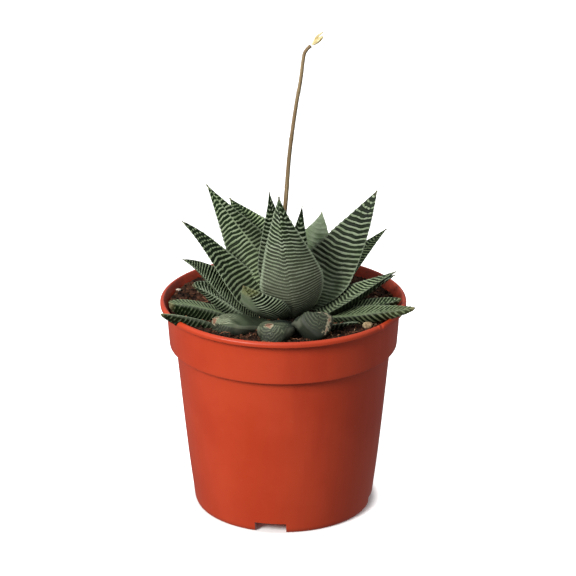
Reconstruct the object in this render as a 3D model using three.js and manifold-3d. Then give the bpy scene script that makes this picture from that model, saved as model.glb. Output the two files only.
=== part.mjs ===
// Potted haworthia: a rosette of thick leaves with raised white cross ridges, a dry flower stalk,
// peaty soil and a terracotta-coloured nursery pot. Millimetres, +Z up, the pot stands on z = 0 and
// its axis is the Z axis. The plant's front faces -Y.
import * as THREE from 'three';
import { mergeVertices } from 'three/addons/utils/BufferGeometryUtils.js';
import Module from 'manifold-3d';

const wasm = await Module();
wasm.setup();

// ---------------------------------------------------------------- driving dimensions
const GAP = 0.3; // clearance between pieces that touch
const LEAF_GAP = 0.6; // clearance kept around a leaf, a little more because its outline is coarser
const SLIVER = 0.11; // facets thinner than this, left by a cut, are merged into their neighbours

const POT = {
  height: 92.5,
  footRadius: 37.9,
  waistRadius: 46, // of the body, where it meets the ledge under the collar
  ledgeRadius: 48.6, // of the collar's sharp lower edge
  ledgeHeight: 72.6,
  collarRadius: 49.3,
  lipRadius: 52.4,
  lipHeight: 2.3,
  wall: 1.3,
  floorHeight: 6,
  floorThickness: 1.4,
  floorRest: 1.6, // the floor's edge lies on this step inside the foot
  footInset: 0.3, // the wall over the step stands this far inside the foot
  sides: 40,
};
const NOTCH = { width: 13.4, height: 4.4, count: 4, firstAngle: -98.2 };
const DRAIN = { radius: 3.2, ring: 25, count: 6, sides: 12 };

const SOIL = { middle: 86.5, rimRise: 3.0, rimTilt: 0.8, highSide: -150, rings: 6, bump: 0.45 };
const PLANT = { x: 2.5, y: 1.0 }; // the crown stands a little off the pot's axis
const CROWN = { radius: 7.2, bottom: 72, shoulder: 86, top: 92, sides: 16 };
const STALK = { lowRadius: 1.1, topRadius: 0.75, sides: 8, steps: 18 };

// A leaf's blade, as shares of its width or of its length.
const BLADE = {
  widest: 0.315, // share of the length at which the leaf is widest
  footWidth: 0.42,
  thickness: 0.42,
  cup: 0.1, // hollow of the upper face
  keel: 0.15, // where the underside's keel stands, from -1 at one margin to 1 at the other
  flank: [0.65, 0.35], // how much of the underside is round and not keeled, at foot and tip
  roundness: 2.2, // power of the underside's round part
  tipWidth: 0.05,
  shoulder: 1.2, // the higher, the longer the leaf holds its width
  taper: 1.1, // below 1 a blunt leaf, above 1 a slender one
  edge: 0.3, // half the thickness of the blunt margins
};
// The stub left by a leaf that was cut off: thick and blunt, and the cut has healed over.
const STUB = {
  footWidth: 0.72,
  thickness: 0.7,
  cup: -0.1,
  flank: 0.9,
  edge: 2,
  roundedEnd: 0.3, // share of the length in which the end rounds off
  endWidth: 0.5,
};
const RIDGE = { pitch: 6.5, height: 0.8, fewest: 4, most: 8 }; // fewer and larger than on the live plant

// Every leaf grows from the crown. Innermost leaves come first, because each leaf gives way to those
// before it. Angles are in degrees, counter-clockwise from +X.
//   from: bearing of the foot        foot: distance from the crown's axis and height
//   tip: distance and height         to: bearing of the tip, where it differs from the foot's
//   rise: steepness at foot and tip  turn: roll of the blade about its midline at foot and tip
//   pull: how far the ends hold their direction, as shares of the span between them
// footWidth, widest, thickness, cup and taper stand for the same ones of BLADE; a cut leaf is a STUB.
const LEAVES = [
  { name: 'leaf_heart_left', from: 150, foot: [2, 90], tip: [7, 116], rise: [70, 85], width: 11 },
  { name: 'leaf_heart_right', from: -10, foot: [2, 90], tip: [8, 111], rise: [65, 80], width: 11 },
  { name: 'leaf_inner_back', from: 60, foot: [2, 90], tip: [11, 130], rise: [70, 78], width: 15 },
  { name: 'leaf_inner_right', from: 76, to: 58.5, foot: [6, 88], tip: [27, 122.7], rise: [58, 62],
    width: 21, widest: 0.55 },
  { name: 'leaf_inner_left', from: 122, to: 112, foot: [3, 90], tip: [23, 132.2], rise: [58, 74],
    width: 19.5, turn: [5, 0] },
  { name: 'leaf_front_tall', from: -79, to: 226, foot: [6, 86], tip: [6.2, 139], rise: [46, 100],
    width: 27.5, pull: [0.45, 0.4], footWidth: 0.36, widest: 0.38 },
  { name: 'leaf_right_tall', from: 24, foot: [6, 87], tip: [41, 134], rise: [55, 57], width: 26,
    turn: [-25, -38], taper: 0.95 },
  { name: 'leaf_left_tall', from: 140, foot: [6, 88], tip: [46.6, 132.8], rise: [58, 46], width: 24,
    turn: [30, 30], cup: -0.2 },
  { name: 'leaf_back_inner', from: 128, foot: [5, 88], tip: [30, 112], rise: [45, 60], width: 22 },
  { name: 'leaf_left_back', from: 122, foot: [5, 88], tip: [49, 122.5], rise: [60, 26], width: 27,
    turn: [24, 24], widest: 0.45 },
  { name: 'leaf_back_middle', from: 82, foot: [6, 88], tip: [30, 111], rise: [45, 55], width: 19 },
  { name: 'leaf_right_behind', from: 37, foot: [6, 87], tip: [53, 111.7], rise: [30, 26], width: 23 },
  { name: 'leaf_left_wide', from: 196, to: 183, foot: [6, 86], tip: [45.2, 127.3], rise: [40, 37],
    width: 20, turn: [40, 34] },
  { name: 'leaf_front_curled', from: 243, to: 236, foot: [7, 86], tip: [34, 108], rise: [32, 36],
    width: 21, turn: [-8, -8], footWidth: 0.5, widest: 0.5 },
  { name: 'leaf_left_mid', from: 212, to: 193, foot: [10, 85], tip: [45.9, 113.3], rise: [36, 24],
    width: 20, turn: [38, 32], footWidth: 0.36, widest: 0.5, thickness: 0.5 },
  { name: 'leaf_right_mid', from: -15, foot: [7, 86], tip: [46.3, 108.3], rise: [26, 30], width: 23,
    turn: [-8, -8], thickness: 0.5 },
  { name: 'leaf_left_low', from: 222, to: 200, foot: [12, 84], tip: [43, 103], rise: [28, 6], width: 18,
    turn: [28, 24], widest: 0.45, thickness: 0.8, taper: 0.7 },
  { name: 'leaf_back_right', from: 58, foot: [6, 87], tip: [48, 105], rise: [25, 30], width: 22,
    thickness: 0.5 },
  { name: 'leaf_back_left', from: 105, foot: [6, 87], tip: [44, 110], rise: [28, 35], width: 22,
    thickness: 0.5 },
  { name: 'leaf_back_low', from: 83, foot: [6, 87], tip: [46, 100], rise: [18, 24], width: 22,
    thickness: 0.5 },
  { name: 'leaf_right_low', from: 8, foot: [7, 86], tip: [46, 100], rise: [15, 20], width: 20,
    thickness: 0.55 },
  { name: 'leaf_left_lying', from: 208, to: 200, foot: [9, 84.5], tip: [53.6, 96.6], rise: [8, 4],
    width: 16, turn: [-2, -2], widest: 0.45, thickness: 1.15, taper: 0.45 },
  { name: 'leaf_right_lying', from: -13, foot: [8, 85], tip: [48.5, 95.5], rise: [8, 8], width: 15,
    turn: [-2, -2], widest: 0.45, thickness: 0.9, taper: 0.6 },
  { name: 'leaf_left_over_rim', from: 225, to: 211.5, foot: [14, 81], tip: [62.3, 97.2], rise: [4, 16],
    width: 14.5, turn: [-12, -14], widest: 0.4, thickness: 1.1, taper: 0.65 },
  { name: 'leaf_right_over_rim', from: -30, foot: [8, 86], tip: [60.2, 99], rise: [12, 12], width: 15,
    widest: 0.45, thickness: 0.8, taper: 0.65 },
  { name: 'leaf_back_lying', from: 135, foot: [8, 85], tip: [46, 97], rise: [10, 12], width: 20,
    thickness: 0.6 },
  { name: 'leaf_front_right_small', from: -64, to: -47, foot: [15, 86], tip: [43, 92.8], rise: [6, 6],
    width: 10, pull: [0.6, 0.3], thickness: 0.6 },
  { name: 'stub_middle', from: -99, foot: [14, 84], tip: [43.5, 93.6], rise: [10, 18], width: 15.5,
    cut: true },
  { name: 'stub_left', from: 228, foot: [15, 84], tip: [42.3, 92.2], rise: [10, 14], width: 17,
    cut: true },
  { name: 'stub_right', from: -73, foot: [15, 84], tip: [39.5, 97.4], rise: [16, 36], width: 16,
    cut: true },
];

// Points of the stalk's middle line. Its top bends over where the flowers were.
const STALK_ROUTE = [
  [-4.3, 4, 93.4], [-2.2, 4, 108], [0.7, 4, 131], [2.6, 4, 155], [5.3, 4, 176], [7.2, 4, 187],
  [8.5, 4, 197.5], [9.6, 4, 200.2], [11.3, 4, 202],
];
const FLOWER_ROUTE = [[11.9, 4, 202.4], [13.8, 4, 204], [16.4, 4, 205.9]];
const BRACT_ROUTE = [[12.6, 4, 203.4], [14, 4, 206], [16.4, 4, 207.8]];

const PEBBLE = { x: 35.2, y: -24.6, radius: 2.3, stretch: [1.15, 0.9, 0.75] };
const WHITE_CHIP = { x: -45.2, y: 14.5, radius: 1.1, stretch: [1.2, 0.8, 0.6] };

// ---------------------------------------------------------------- materials
const TERRACOTTA = new THREE.MeshStandardMaterial({ color: 0xbe4628, roughness: 0.55, metalness: 0 });
const PEAT = new THREE.MeshStandardMaterial({ color: 0x5a3222, roughness: 1, metalness: 0 });
const GREEN = new THREE.MeshStandardMaterial({ color: 0x5d7350, roughness: 0.6, metalness: 0 });
const CUT_GREEN = new THREE.MeshStandardMaterial({ color: 0x6c7a62, roughness: 0.7, metalness: 0 });
const PALE_STEM = new THREE.MeshStandardMaterial({ color: 0x9aa27a, roughness: 0.7, metalness: 0 });
const STRAW = new THREE.MeshStandardMaterial({ color: 0x8c735a, roughness: 0.8, metalness: 0 });
const DRY_PETAL = new THREE.MeshStandardMaterial({ color: 0xcdbd8c, roughness: 0.85, metalness: 0 });
const TAN_STONE = new THREE.MeshStandardMaterial({ color: 0xb59a77, roughness: 0.9, metalness: 0 });
const WHITE_STONE = new THREE.MeshStandardMaterial({ color: 0xe4e0d6, roughness: 0.9, metalness: 0 });

// ---------------------------------------------------------------- solids
const radians = (degrees) => (degrees * Math.PI) / 180;
const mix = (a, b, share) => a + (b - a) * share;

// A three.js geometry as a manifold solid.
function toSolid(geometry) {
  const bare = geometry.clone();
  bare.deleteAttribute('normal');
  bare.deleteAttribute('uv');
  const merged = mergeVertices(bare, 1e-4);
  return new wasm.Manifold(new wasm.Mesh({
    numProp: 3,
    vertProperties: new Float32Array(merged.attributes.position.array),
    triVerts: new Uint32Array(merged.index.array),
  }));
}

function toGeometry(solid) {
  const mesh = solid.getMesh();
  const geometry = new THREE.BufferGeometry();
  geometry.setAttribute('position', new THREE.BufferAttribute(new Float32Array(mesh.vertProperties), 3));
  geometry.setIndex(new THREE.BufferAttribute(new Uint32Array(mesh.triVerts), 1));
  const faceted = geometry.toNonIndexed();
  faceted.computeVertexNormals();
  return faceted;
}

// What is left of a piece in one body: the largest one.
function largestBody(solid) {
  return solid.decompose().reduce((best, body) => (body.volume() > best.volume() ? body : best));
}

// A closed geometry through stacked rings of equally many points, from the first ring to the last.
function geometryFromRings(rings) {
  const count = rings[0].length;
  const middle = (ring) => ring.reduce((sum, p) => sum.add(p), new THREE.Vector3()).divideScalar(count);
  const points = [middle(rings[0]), ...rings.flat(), middle(rings[rings.length - 1])];
  const last = points.length - 1;
  const at = (ring, i) => 1 + ring * count + (i % count);
  const triangles = [];
  for (let i = 0; i < count; i++) {
    triangles.push(0, at(0, i + 1), at(0, i));
    triangles.push(last, at(rings.length - 1, i), at(rings.length - 1, i + 1));
    for (let ring = 0; ring < rings.length - 1; ring++) {
      triangles.push(at(ring, i), at(ring, i + 1), at(ring + 1, i + 1));
      triangles.push(at(ring, i), at(ring + 1, i + 1), at(ring + 1, i));
    }
  }
  const geometry = new THREE.BufferGeometry().setFromPoints(points);
  geometry.setIndex(triangles);
  return geometry;
}

// A turned solid about the Z axis. The profile is a closed list of [radius, height], walked so that
// the material lies on its left.
function turned(profile, sides) {
  const points = profile.map(([r, z]) => new THREE.Vector2(r, z));
  return toSolid(new THREE.LatheGeometry(points, sides).rotateX(Math.PI / 2));
}

// ---------------------------------------------------------------- pot
function potProfile() {
  const { height, footRadius, waistRadius, ledgeRadius, ledgeHeight, collarRadius, lipRadius, wall } = POT;
  const inside = footRadius - POT.footInset;
  const rest = inside - POT.floorRest;
  const restHeight = POT.floorHeight - GAP;
  const lipFoot = height - POT.lipHeight;
  return [
    [rest, restHeight], [rest, 0], [footRadius, 0], [footRadius + 0.7, 1.6], [41, 21], [43.4, 45],
    [45, 62.5], [waistRadius, ledgeHeight], [ledgeRadius, ledgeHeight], [ledgeRadius + 0.3, 76.5],
    [collarRadius, 82], [collarRadius + 0.3, lipFoot], [lipRadius, lipFoot], [lipRadius, height - 0.7],
    [lipRadius - 0.8, height], [collarRadius + 1.5, height], [collarRadius + 0.9, height - 1],
    [collarRadius - wall + 0.1, height - 6], [ledgeRadius - wall + 0.2, ledgeHeight + 3.4],
    [waistRadius - wall + 0.1, ledgeHeight + 1.2], [45 - wall, 62.5], [43.4 - wall, 45], [41 - wall, 21],
    [inside, restHeight], [rest, restHeight],
  ];
}

function notchCutter(angle) {
  const { footRadius } = POT;
  const box = new THREE.BoxGeometry(8, NOTCH.width, 2 * NOTCH.height);
  box.translate(footRadius, 0, 0);
  return toSolid(box.rotateZ(radians(angle)));
}

function drainCutter(x, y) {
  const hole = new THREE.CylinderGeometry(DRAIN.radius, DRAIN.radius, 8, DRAIN.sides).rotateX(Math.PI / 2);
  return toSolid(hole.translate(x, y, POT.floorHeight));
}

function makePot() {
  let pot = turned(potProfile(), POT.sides);
  for (let i = 0; i < NOTCH.count; i++) {
    pot = pot.subtract(notchCutter(NOTCH.firstAngle + (360 / NOTCH.count) * i));
  }
  return pot;
}

// The pot's pierced floor is a disc that lies on the step inside the foot.
function makePotFloor() {
  const radius = POT.footRadius - POT.footInset - GAP;
  const low = POT.floorHeight;
  const high = low + POT.floorThickness;
  let disc = turned([[0, low], [radius, low], [radius, high], [0, high], [0, low]], POT.sides);
  disc = disc.subtract(drainCutter(0, 0));
  for (let i = 0; i < DRAIN.count; i++) {
    const angle = radians((360 / DRAIN.count) * i);
    disc = disc.subtract(drainCutter(DRAIN.ring * Math.cos(angle), DRAIN.ring * Math.sin(angle)));
  }
  return disc;
}

// The lip's surroundings, which the leaves that reach over it stay out of.
function makeLipSpace() {
  const { height, collarRadius, lipRadius } = POT;
  const inside = collarRadius - POT.wall - 1.4;
  return turned(
    [[inside, 70], [lipRadius + 2 * GAP, 70], [lipRadius + 2 * GAP, height + 2 * GAP],
      [collarRadius + 0.4, height + 2 * GAP], [inside, height - 6], [inside, 70]],
    POT.sides,
  );
}

// ---------------------------------------------------------------- soil
function soilHeight(x, y) {
  const radius = Math.hypot(x, y) / (POT.collarRadius - POT.wall);
  const bearing = Math.atan2(y, x) - radians(SOIL.highSide);
  const rise = (SOIL.rimRise + SOIL.rimTilt * Math.cos(bearing)) * radius ** 3;
  const crumbs = Math.sin(x * 0.9 + 1.3) * Math.cos(y * 0.8) + 0.6 * Math.sin(x * 0.37 - y * 0.61);
  return SOIL.middle + rise + SOIL.bump * crumbs * Math.min(1, 2 - 2 * radius);
}

function makeSoil() {
  const inner = (radius) => radius - POT.wall - GAP;
  const topRadius = inner(POT.collarRadius);
  const ring = (radius, height) => Array.from({ length: POT.sides }, (unused, i) => {
    const angle = (2 * Math.PI * i) / POT.sides;
    const x = radius * Math.cos(angle);
    const y = radius * Math.sin(angle);
    return new THREE.Vector3(x, y, height ?? soilHeight(x, y));
  });
  const walls = [
    ring(POT.footRadius - 0.9, POT.floorHeight + POT.floorThickness + GAP), ring(inner(41), 21),
    ring(inner(43.4), 45), ring(inner(45), 62.5), ring(inner(POT.waistRadius), POT.ledgeHeight + 1.3),
    ring(inner(POT.ledgeRadius) + 0.4, POT.ledgeHeight + 3.7), ring(topRadius, 86),
  ];
  const top = [];
  for (let i = 0; i < SOIL.rings; i++) {
    top.push(ring(topRadius * (1 - i / SOIL.rings)));
  }
  return toSolid(geometryFromRings([...walls, ...top]));
}

// ---------------------------------------------------------------- crown, stalk and flower
function makeCrown(growth) {
  const { radius, bottom, shoulder, top, sides } = CROWN;
  const crown = turned(
    [[0, bottom - growth], [radius * 0.7 + growth, bottom - growth], [radius + growth, bottom + 6],
      [radius + growth, shoulder], [radius * 0.72 + growth, top - 1], [radius * 0.4, top + growth],
      [0, top + growth], [0, bottom - growth]],
    sides,
  );
  return crown.translate([PLANT.x, PLANT.y, 0]);
}

const toPoints = (list) => list.map(([x, y, z]) => new THREE.Vector3(x, y, z));

// A round tube along a route, its radius given at each share of the length. Its ends are flat.
function makeTube(route, radiusAt, sides, steps) {
  const curve = new THREE.CatmullRomCurve3(toPoints(route), false, 'centripetal');
  const rings = [];
  for (let i = 0; i <= steps; i++) {
    const share = i / steps;
    const centre = curve.getPointAt(share);
    const along = curve.getTangentAt(share);
    const back = new THREE.Vector3(0, 1, 0);
    const side = new THREE.Vector3().crossVectors(back, along).normalize();
    rings.push(Array.from({ length: sides }, (unused, k) => {
      const angle = (2 * Math.PI * k) / sides;
      const radius = radiusAt(share);
      return centre.clone().addScaledVector(side, radius * Math.cos(angle))
        .addScaledVector(back, radius * Math.sin(angle));
    }));
  }
  return toSolid(geometryFromRings(rings));
}

function makeStalk(growth) {
  const radiusAt = (share) => mix(STALK.lowRadius, STALK.topRadius, share) + growth;
  return makeTube(STALK_ROUTE, radiusAt, STALK.sides, STALK.steps);
}

// The withered flower: a spindle-shaped capsule with a thin bract growing from its foot.
function makeDryFlower() {
  const capsule = makeTube(FLOWER_ROUTE, (share) => 0.4 + 0.65 * Math.sin(Math.PI * share), 8, 8);
  const bract = makeTube(BRACT_ROUTE, (share) => 0.3 + 0.25 * Math.sin(Math.PI * share), 6, 8);
  return capsule.add(bract);
}

// ---------------------------------------------------------------- leaves
// The leaf's middle line: a cubic curve in the upright plane of its bearing.
function midline(leaf) {
  const bearing = radians(leaf.from);
  const tipBearing = radians(leaf.to ?? leaf.from);
  const outward = new THREE.Vector3(Math.cos(bearing), Math.sin(bearing), 0);
  const point = (angle, reach, height) => new THREE.Vector3(
    PLANT.x + reach * Math.cos(angle), PLANT.y + reach * Math.sin(angle), height);
  const foot = point(bearing, ...leaf.foot);
  const tip = point(tipBearing, ...leaf.tip);
  const span = foot.distanceTo(tip);
  const [footPull, tipPull] = leaf.pull ?? [0.36, 0.36];
  const heading = (rise) => outward.clone().multiplyScalar(Math.cos(radians(rise)))
    .add(new THREE.Vector3(0, 0, Math.sin(radians(rise))));
  const footHandle = foot.clone().addScaledVector(heading(leaf.rise[0]), span * footPull);
  const tipHandle = tip.clone().addScaledVector(heading(leaf.rise[1]), -span * tipPull);
  return { curve: new THREE.CubicBezierCurve3(foot, footHandle, tipHandle, tip), outward };
}

// Half the blade's width at a share of its length, where 1 is the widest place.
function leafOutline(leaf, share) {
  const widest = leaf.widest ?? BLADE.widest;
  if (share < widest) {
    return mix(leaf.footWidth ?? BLADE.footWidth, 1, Math.sin((Math.PI / 2) * (share / widest)));
  }
  const rest = (share - widest) / (1 - widest);
  return Math.max(BLADE.tipWidth, (1 - rest ** BLADE.shoulder) ** (leaf.taper ?? BLADE.taper));
}

function stubOutline(share) {
  const swell = mix(STUB.footWidth, 1, Math.sin((Math.PI / 2) * Math.min(1, share / 0.5)));
  const end = Math.max(0, (share - 1 + STUB.roundedEnd) / STUB.roundedEnd);
  return swell * mix(STUB.endWidth, 1, Math.sqrt(1 - end * end));
}

function halfWidth(leaf, share) {
  return (leaf.width / 2) * (leaf.cut ? stubOutline(share) : leafOutline(leaf, share));
}

// One ring of the blade's section. Between the margins the surface lies `sunk` below the ridges'
// crests; the margins and the keel stay up, and `growth` pushes the whole section outwards.
function bladeSection(leaf, share, sunk, growth) {
  const half = halfWidth(leaf, share);
  const thickness = leaf.thickness ?? (leaf.cut ? STUB.thickness : BLADE.thickness);
  const depth = thickness * half * (1 + 0.3 * share);
  const cup = leaf.cut ? STUB.cup * 2 * half : (leaf.cup ?? BLADE.cup) * 2 * half * (1 - share);
  const flank = leaf.cut ? STUB.flank : mix(...BLADE.flank, share);
  const under = (s) => {
    const keeled = s < BLADE.keel ? (1 + s) / (1 + BLADE.keel) : (1 - s) / (1 - BLADE.keel);
    return -depth * (flank * (1 - Math.abs(s) ** BLADE.roundness) + (1 - flank) * keeled);
  };
  const upper = (s) => -cup * (1 - s * s);
  const at = (s, lift) => [s * (half + growth), lift];
  const edge = Math.min(leaf.cut ? STUB.edge : BLADE.edge, 0.5 * half) + growth;
  return [
    at(-1, edge), at(-0.45, upper(-0.45) - sunk + edge), at(0.45, upper(0.45) - sunk + edge), at(1, edge),
    at(1, -edge), at(0.6, under(0.6) + sunk - edge), at(BLADE.keel, under(BLADE.keel) + 0.4 * sunk - edge),
    at(-0.5, under(-0.5) + sunk - edge), at(-1, -edge),
  ];
}

function ridgeCount(leaf) {
  const length = midline(leaf).curve.getLength();
  return Math.min(RIDGE.most, Math.max(RIDGE.fewest, Math.round(length / RIDGE.pitch)));
}

// The blade as rings along its midline. Every second ring is the crest of a ridge. A grown blade is
// the smooth space around it, with fewer rings.
function makeBlade(leaf, growth) {
  const { curve, outward } = midline(leaf);
  const level = new THREE.Vector3().crossVectors(outward, new THREE.Vector3(0, 0, 1));
  const steps = growth > 0 && !leaf.cut ? RIDGE.most : 2 * ridgeCount(leaf);
  const turn = leaf.turn ?? [0, 0];
  const rings = [];
  for (let i = 0; i <= steps; i++) {
    const share = i / steps;
    const along = curve.getTangentAt(share);
    const overrun = (i === 0 ? -growth : 0) + (i === steps ? growth : 0);
    const centre = curve.getPointAt(share).addScaledVector(along, overrun);
    const side = level.clone().addScaledVector(along, -level.dot(along)).normalize();
    const face = new THREE.Vector3().crossVectors(side, along);
    const roll = radians(mix(turn[0], turn[1], share));
    const across = side.clone().multiplyScalar(Math.cos(roll)).addScaledVector(face, Math.sin(roll));
    const up = face.clone().multiplyScalar(Math.cos(roll)).addScaledVector(side, -Math.sin(roll));
    const onCrest = growth > 0 || i % 2 === 0;
    const sunk = onCrest ? 0 : Math.min(RIDGE.height, 0.1 * halfWidth(leaf, share));
    const section = bladeSection(leaf, share, sunk, growth);
    rings.push(section.map(
      ([s, lift]) => centre.clone().addScaledVector(across, s).addScaledVector(up, lift)));
  }
  return toSolid(geometryFromRings(rings));
}

// ---------------------------------------------------------------- small stones on the soil
function makeStone(stone, growth) {
  const [sx, sy, sz] = stone.stretch.map((s) => s * (stone.radius + growth));
  const rest = soilHeight(stone.x, stone.y) + 0.45 * stone.radius;
  const ball = new THREE.IcosahedronGeometry(1, 1).scale(sx, sy, sz);
  return toSolid(ball).translate([stone.x, stone.y, rest]);
}

// ---------------------------------------------------------------- assembly
const plant = new THREE.Group();
const union = (solids) => wasm.Manifold.union(solids);

function addPiece(name, solid, material) {
  const mesh = new THREE.Mesh(toGeometry(solid), material.clone());
  mesh.name = name;
  plant.add(mesh);
}

function addStones(soil) {
  const stones = [['pebble', PEBBLE, TAN_STONE], ['white_chip', WHITE_CHIP, WHITE_STONE]];
  let rest = soil;
  for (const [name, stone, material] of stones) {
    addPiece(name, makeStone(stone, 0), material);
    rest = rest.subtract(makeStone(stone, GAP));
  }
  return rest;
}

function build() {
  const lipSpace = makeLipSpace();
  const taken = [makeCrown(GAP), makeStalk(GAP)];
  for (const leaf of LEAVES) {
    const blade = makeBlade(leaf, 0).subtract(union([...taken, lipSpace]));
    addPiece(leaf.name, largestBody(blade.simplify(SLIVER)), leaf.cut ? CUT_GREEN : GREEN);
    taken.push(makeBlade(leaf, LEAF_GAP));
  }
  const soil = addStones(makeSoil().subtract(union(taken)));
  addPiece('soil', largestBody(soil.simplify(SLIVER)), PEAT);
  addPiece('pot', makePot(), TERRACOTTA);
  addPiece('pot_floor', makePotFloor(), TERRACOTTA);
  addPiece('crown', makeCrown(0), PALE_STEM);
  addPiece('flower_stalk', makeStalk(0), STRAW);
  addPiece('dry_flower', makeDryFlower(), DRY_PETAL);
}

build();

export default plant;
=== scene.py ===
from math import cos, hypot, pi, radians, sin

import bmesh
import bpy
import numpy as np
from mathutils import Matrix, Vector
from numpy.linalg import norm


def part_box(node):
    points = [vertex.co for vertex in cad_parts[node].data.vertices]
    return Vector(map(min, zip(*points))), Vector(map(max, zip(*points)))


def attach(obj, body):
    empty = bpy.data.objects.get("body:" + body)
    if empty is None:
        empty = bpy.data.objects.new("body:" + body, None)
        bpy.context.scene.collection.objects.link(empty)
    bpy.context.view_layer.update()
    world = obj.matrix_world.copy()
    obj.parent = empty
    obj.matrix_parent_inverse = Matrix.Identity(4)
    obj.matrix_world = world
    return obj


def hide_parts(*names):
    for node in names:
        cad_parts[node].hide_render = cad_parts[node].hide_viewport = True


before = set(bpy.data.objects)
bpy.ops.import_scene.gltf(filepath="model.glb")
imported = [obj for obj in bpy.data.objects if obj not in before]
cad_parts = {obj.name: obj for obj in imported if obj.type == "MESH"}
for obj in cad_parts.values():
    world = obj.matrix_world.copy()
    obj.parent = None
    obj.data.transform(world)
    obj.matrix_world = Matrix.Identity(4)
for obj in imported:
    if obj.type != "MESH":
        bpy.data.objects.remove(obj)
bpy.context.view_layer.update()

MM = 0.001
scene = bpy.context.scene
random = np.random.default_rng(632)

# ---- driving dimensions, as in the part's source
PLANT = np.array([2.5, 1.0, 0.0])  # the axis of the rosette

POT_HEIGHT = 92.5
FOOT_RADIUS = 37.9
BODY = ((41, 21, 6), (43.4, 45, 6), (45, 62.5, 4))  # radius, height and rounding up the tapering body
WAIST_RADIUS = 46
LEDGE_RADIUS = 48.6
LEDGE_HEIGHT = 72.6
COLLAR_RADIUS = 49.3
LIP_RADIUS = 52.4
LIP_HEIGHT = 2.3
WALL = 1.3
FLOOR_HEIGHT = 6.0
FLOOR_THICKNESS = 1.4
NOTCH_WIDTH = 13.4
NOTCH_HEIGHT = 4.4
NOTCH_ANGLES = [-98.2 + 90 * i for i in range(4)]
DRAIN_RADIUS = 3.2
DRAIN_RING = 25
NICK_ANGLE = -38.0
NICK_DEPTH = 0.7
CRACK_DEPTH = 0.45
CRACK_AWAY = 2.6  # degrees from the nick

SOIL_MIDDLE = 86.5
SOIL_RIM_RISE = 3.0
SOIL_RIM_TILT = 0.8
SOIL_HIGH_SIDE = -150
SOIL_GAP = 0.35  # between the soil and the pot
CRUMBS = 2600
FIBRES = 210
CROWN_REACH = 9
STONE_SCALE = 0.9

ROW_SPACING = 1.35
WIDE_LEAF = 15
KEEL = 0.15  # place of the keel under a leaf, from -1 to 1 across it
RIDGE_HEIGHT = 0.5
RIDGE_HEIGHT_SHARE = 0.08  # of half the leaf's width, where that is less
STUB_PITCH = 1.15
CAP_ROWS = 16
CAP_HEIGHT = 0.8
LOW_SHADE_TOP, LOW_SHADE_FLOOR = 97, 89  # heights between which painted shade darkens the leaves towards the soil

# Shapes of a leaf and of a stub: widths are shares of the widest, which lies at the place `widest`; thickness
# is a share of half the width and cup of the whole; edge is in millimetres.
BLADE = dict(widest=0.315, foot_width=0.42, thickness=0.42, cup=0.1, tip_width=0.03, edge=0.3, taper=1.1)
STUB = dict(foot_width=0.72, thickness=0.7, cup=-0.1, flank=0.9, edge=2.0, rounded_end=0.3, end_width=0.5)

# What holds where a leaf's row says nothing else. Places along a leaf run from 0 at the foot to 1 at the tip.
# Places across it run from -1 to 1.
SKIN = dict(
    turn=(0, 0),       # roll about the midline, in degrees, at the foot and at the tip
    to=None,           # bearing of the tip, where it isn't that of the foot
    pull=(0.36, 0.36),  # how far each end's direction holds
    cut=False,         # a stub, cut off short
    keeled=False,      # a raised line along the upper face too
    fineness=5,        # rows of points in each ROW_SPACING
    columns=None,      # columns of points over each face
    pitch=(1.6, 2.3),  # spacing of the cross ridges at the foot and at the tip
    pitch_power=1.0,   # above 1, the spacing widens late
    bend=(1.6, 1.6),   # how many ridges nearer the tip each margin lies than the middle
    foot_bend=None,    # the same at the foot
    lean=0,            # slant from the middle to a margin, in ridges
    dots=0.55,         # how far ridges break into beads at the tip
    bead_from=0.6,     # place where beads begin
    bare_side=0,       # 1 or -1: the side with worn ridges
    bare=0,            # what is left of them
    dim=0,             # painted shade on the underside: share taken off its ridges and its brightness, and a higher start for the low shade
    smooth_top=0,      # share of the upper face's gaps that is filled
    rim=0.9,           # place where the pale margin begins
    grey=0.45,         # fading to grey at the foot
    fade_from=0.7,     # place where the fading begins
    pale=0.0,          # paleness all over
    bright_foot=0,     # painted light: paleness at the foot
    light=1.0,         # painted shade: brightness halfway along a leaf and all over a stub, below 1 darker
    fresh=0.0,         # greenness
    dry_tip=0.35,      # dryness of the tip, which spreads above 0.7
    scar=None,         # a stub's scar: side, place and reach in millimetres
    ribbed=False,      # a stub with lengthwise ridges on its upper face
    rim_side=0,        # 1 or -1: the side where a stub's cut edge is scarred
)


def leaf(name, start, foot, tip, rise, width, **more):
    """A leaf's row: the same sizes as in the part's source, and how its skin looks."""
    own = dict(name=name, start=start, foot=foot, tip=tip, rise=rise, width=width)
    return {**SKIN, **(STUB if more.get("cut") else BLADE), **own, **more}


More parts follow.
